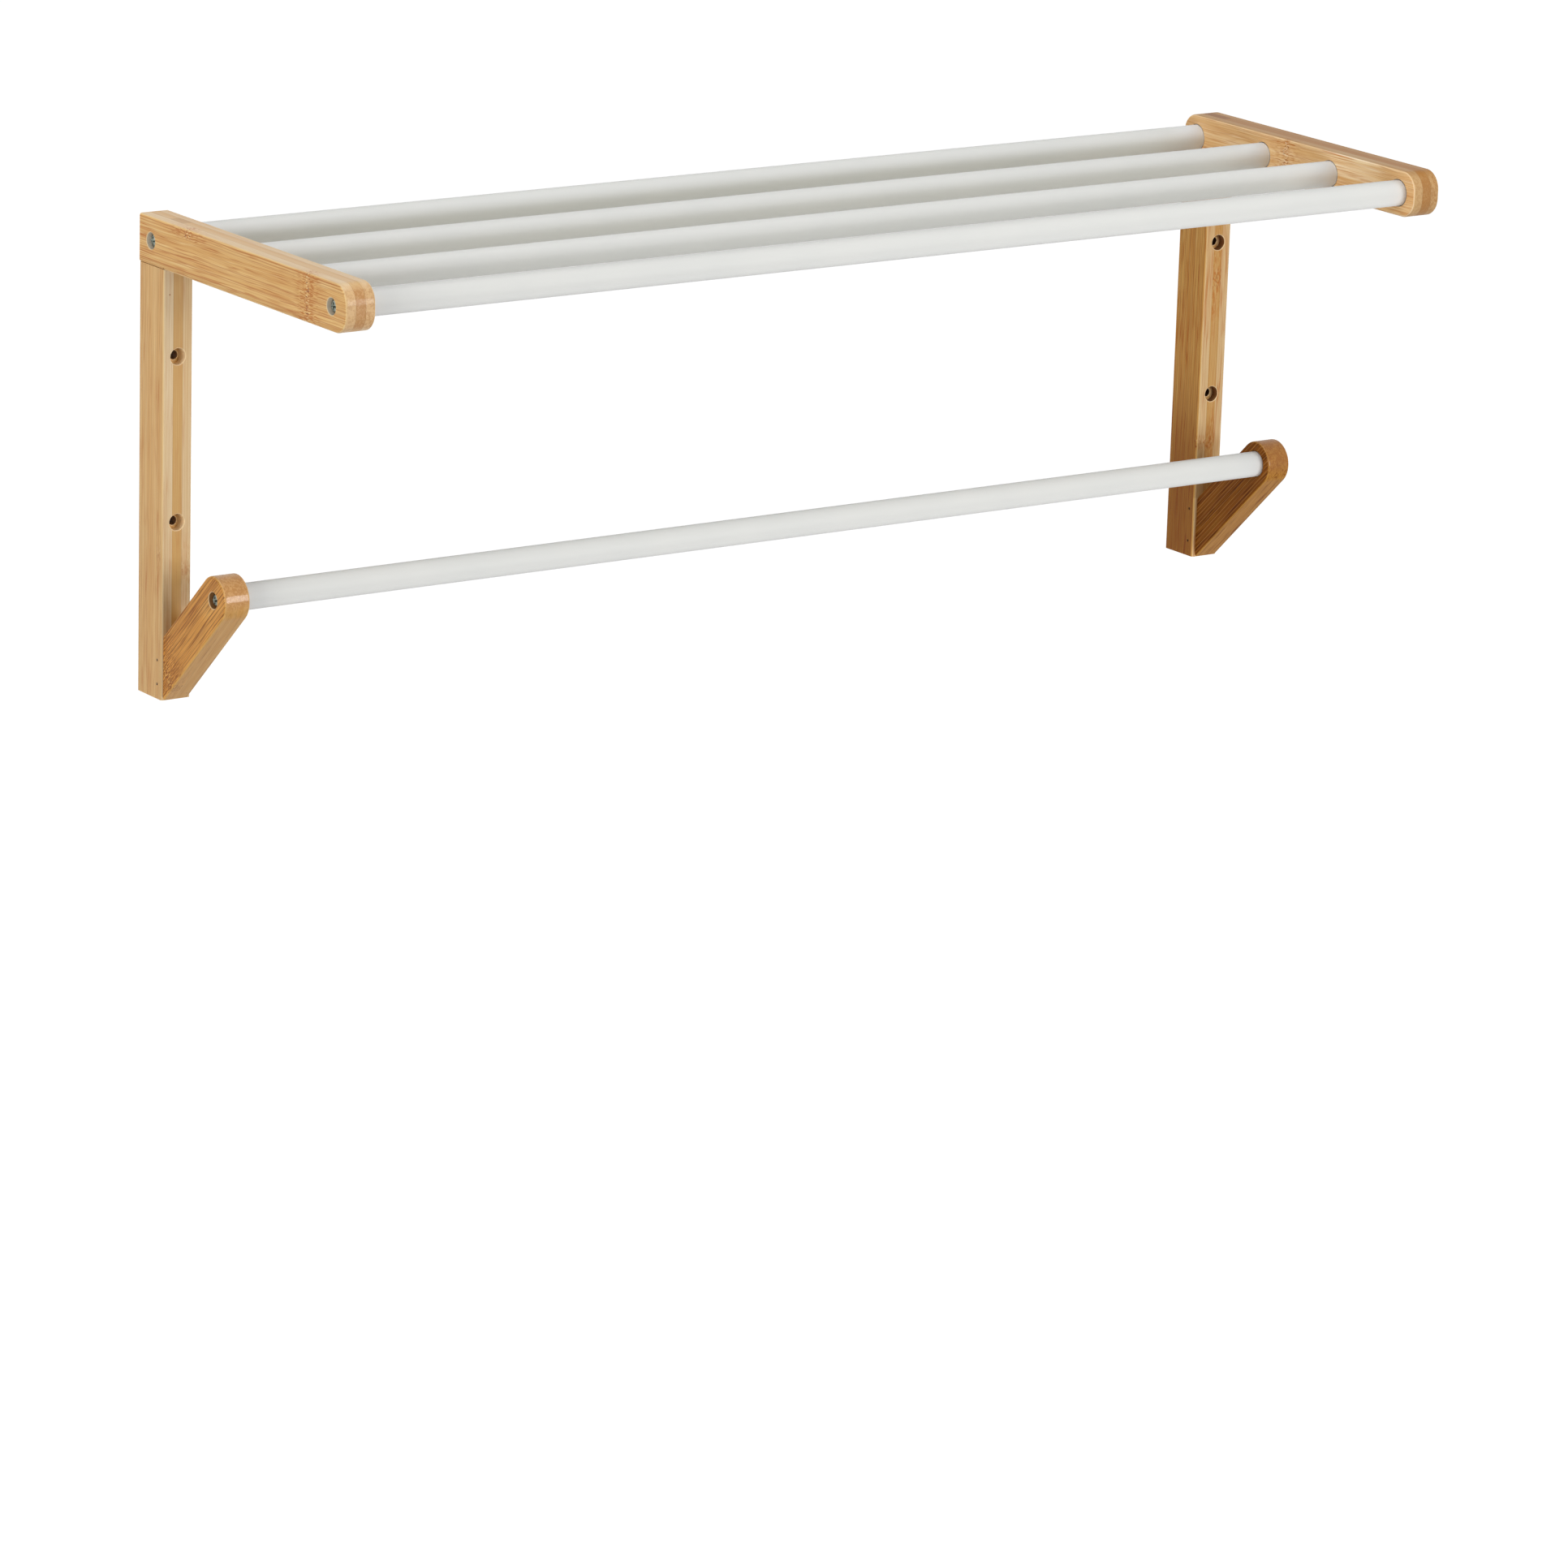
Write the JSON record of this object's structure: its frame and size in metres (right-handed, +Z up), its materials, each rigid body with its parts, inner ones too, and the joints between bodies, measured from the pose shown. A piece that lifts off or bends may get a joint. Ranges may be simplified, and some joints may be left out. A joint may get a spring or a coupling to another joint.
{
  "type": "wall-mounted towel rack",
  "caption": "Wall towel rack: bamboo side frames carry a shelf of white round rods and a lower towel rod on slanted hooks.",
  "frame": {"origin": "on the wall plane, at mid width, level with the lower ends of the uprights", "axes": "+X to the right along the rods, +Y into the wall, +Z up"},
  "size_m": [0.6, 0.179, 0.22],
  "materials": {
    "bamboo": "laminated bamboo, clear satin lacquer",
    "white_coated_metal": "white satin powder coat",
    "zinc_steel": "bright zinc plate",
    "nylon": "natural moulded",
    "beech": "bare, glued"
  },
  "bodies": {
    "root": {"left_arm": "bamboo", "left_upright": "bamboo", "left_hook": "bamboo", "left_joint_dowel": "beech", "left_brad_1": "zinc_steel", "left_brad_2": "zinc_steel", "left_rear_rod_plug": "nylon", "left_rear_rod_screw": "zinc_steel", "left_front_rod_plug": "nylon", "left_front_rod_screw": "zinc_steel", "left_towel_rod_plug": "nylon", "left_towel_rod_screw": "zinc_steel", "right_arm": "bamboo", "right_upright": "bamboo", "right_hook": "bamboo", "right_joint_dowel": "beech", "right_brad_1": "zinc_steel", "right_brad_2": "zinc_steel", "right_rear_rod_plug": "nylon", "right_rear_rod_screw": "zinc_steel", "right_front_rod_plug": "nylon", "right_front_rod_screw": "zinc_steel", "right_towel_rod_plug": "nylon", "right_towel_rod_screw": "zinc_steel", "shelf_rod_1": "white_coated_metal", "shelf_rod_2": "white_coated_metal", "shelf_rod_3": "white_coated_metal", "shelf_rod_4": "white_coated_metal", "towel_rod": "white_coated_metal"}
  },
  "joints": []
}
